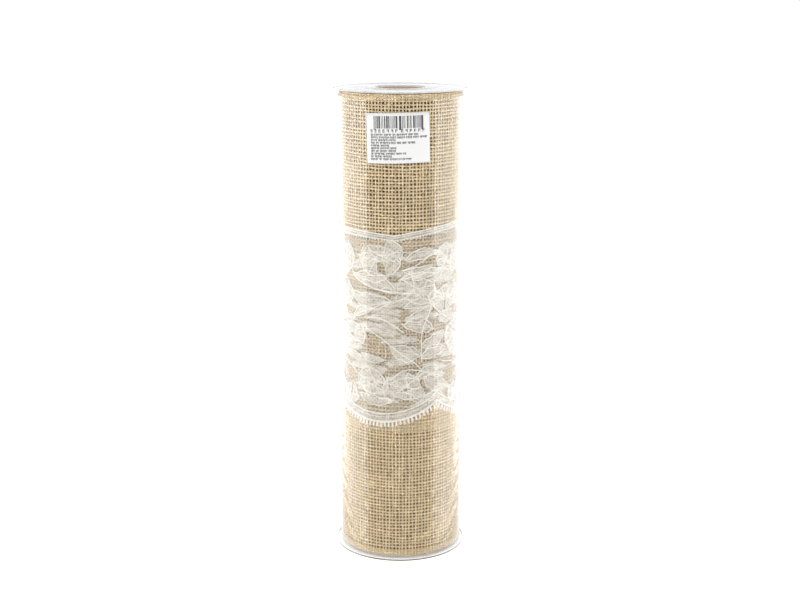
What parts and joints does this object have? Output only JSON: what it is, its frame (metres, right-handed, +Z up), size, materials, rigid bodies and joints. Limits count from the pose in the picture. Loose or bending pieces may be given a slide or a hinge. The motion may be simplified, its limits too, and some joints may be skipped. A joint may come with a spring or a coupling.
{
  "type": "rolled table runner",
  "caption": "Jute table runner with a sewn lace band, wound on a cardboard tube between clear push-in end flanges and wrapped in clear film.",
  "frame": {"origin": "centre of the bottom flange's underside, where the roll stands", "axes": "+Z up along the roll's tube, -Y towards the face that carries the label, +X to that face's right"},
  "size_m": [0.08, 0.08, 0.285],
  "materials": {
    "cardboard": "matt grey-brown wound board",
    "tape": "double-sided tape",
    "jute": "open plain-weave natural jute",
    "lace": "off-white polyester lace",
    "thread": "off-white sewing thread",
    "film": "clear glossy film",
    "paper": "semi-matt white label paper",
    "clear_plastic": "clear moulded polystyrene"
  },
  "bodies": {
    "roll": {"core_tube": "cardboard", "core_tape": "tape", "runner_jute": "jute", "runner_lace": "lace", "lower_stitching": "thread", "upper_stitching": "thread", "film_wrap": "film", "product_label": "paper"},
    "bottom_flange": {"bottom_flange": "clear_plastic"},
    "top_flange": {"top_flange": "clear_plastic"}
  },
  "joints": [
    {"name": "bottom_flange_pull", "type": "slide", "parent": "roll", "child": "bottom_flange", "axis": [0, 0, -1], "range_m": [0, 0.02]},
    {"name": "top_flange_pull", "type": "slide", "parent": "roll", "child": "top_flange", "axis": [0, 0, 1], "range_m": [0, 0.02]}
  ]
}
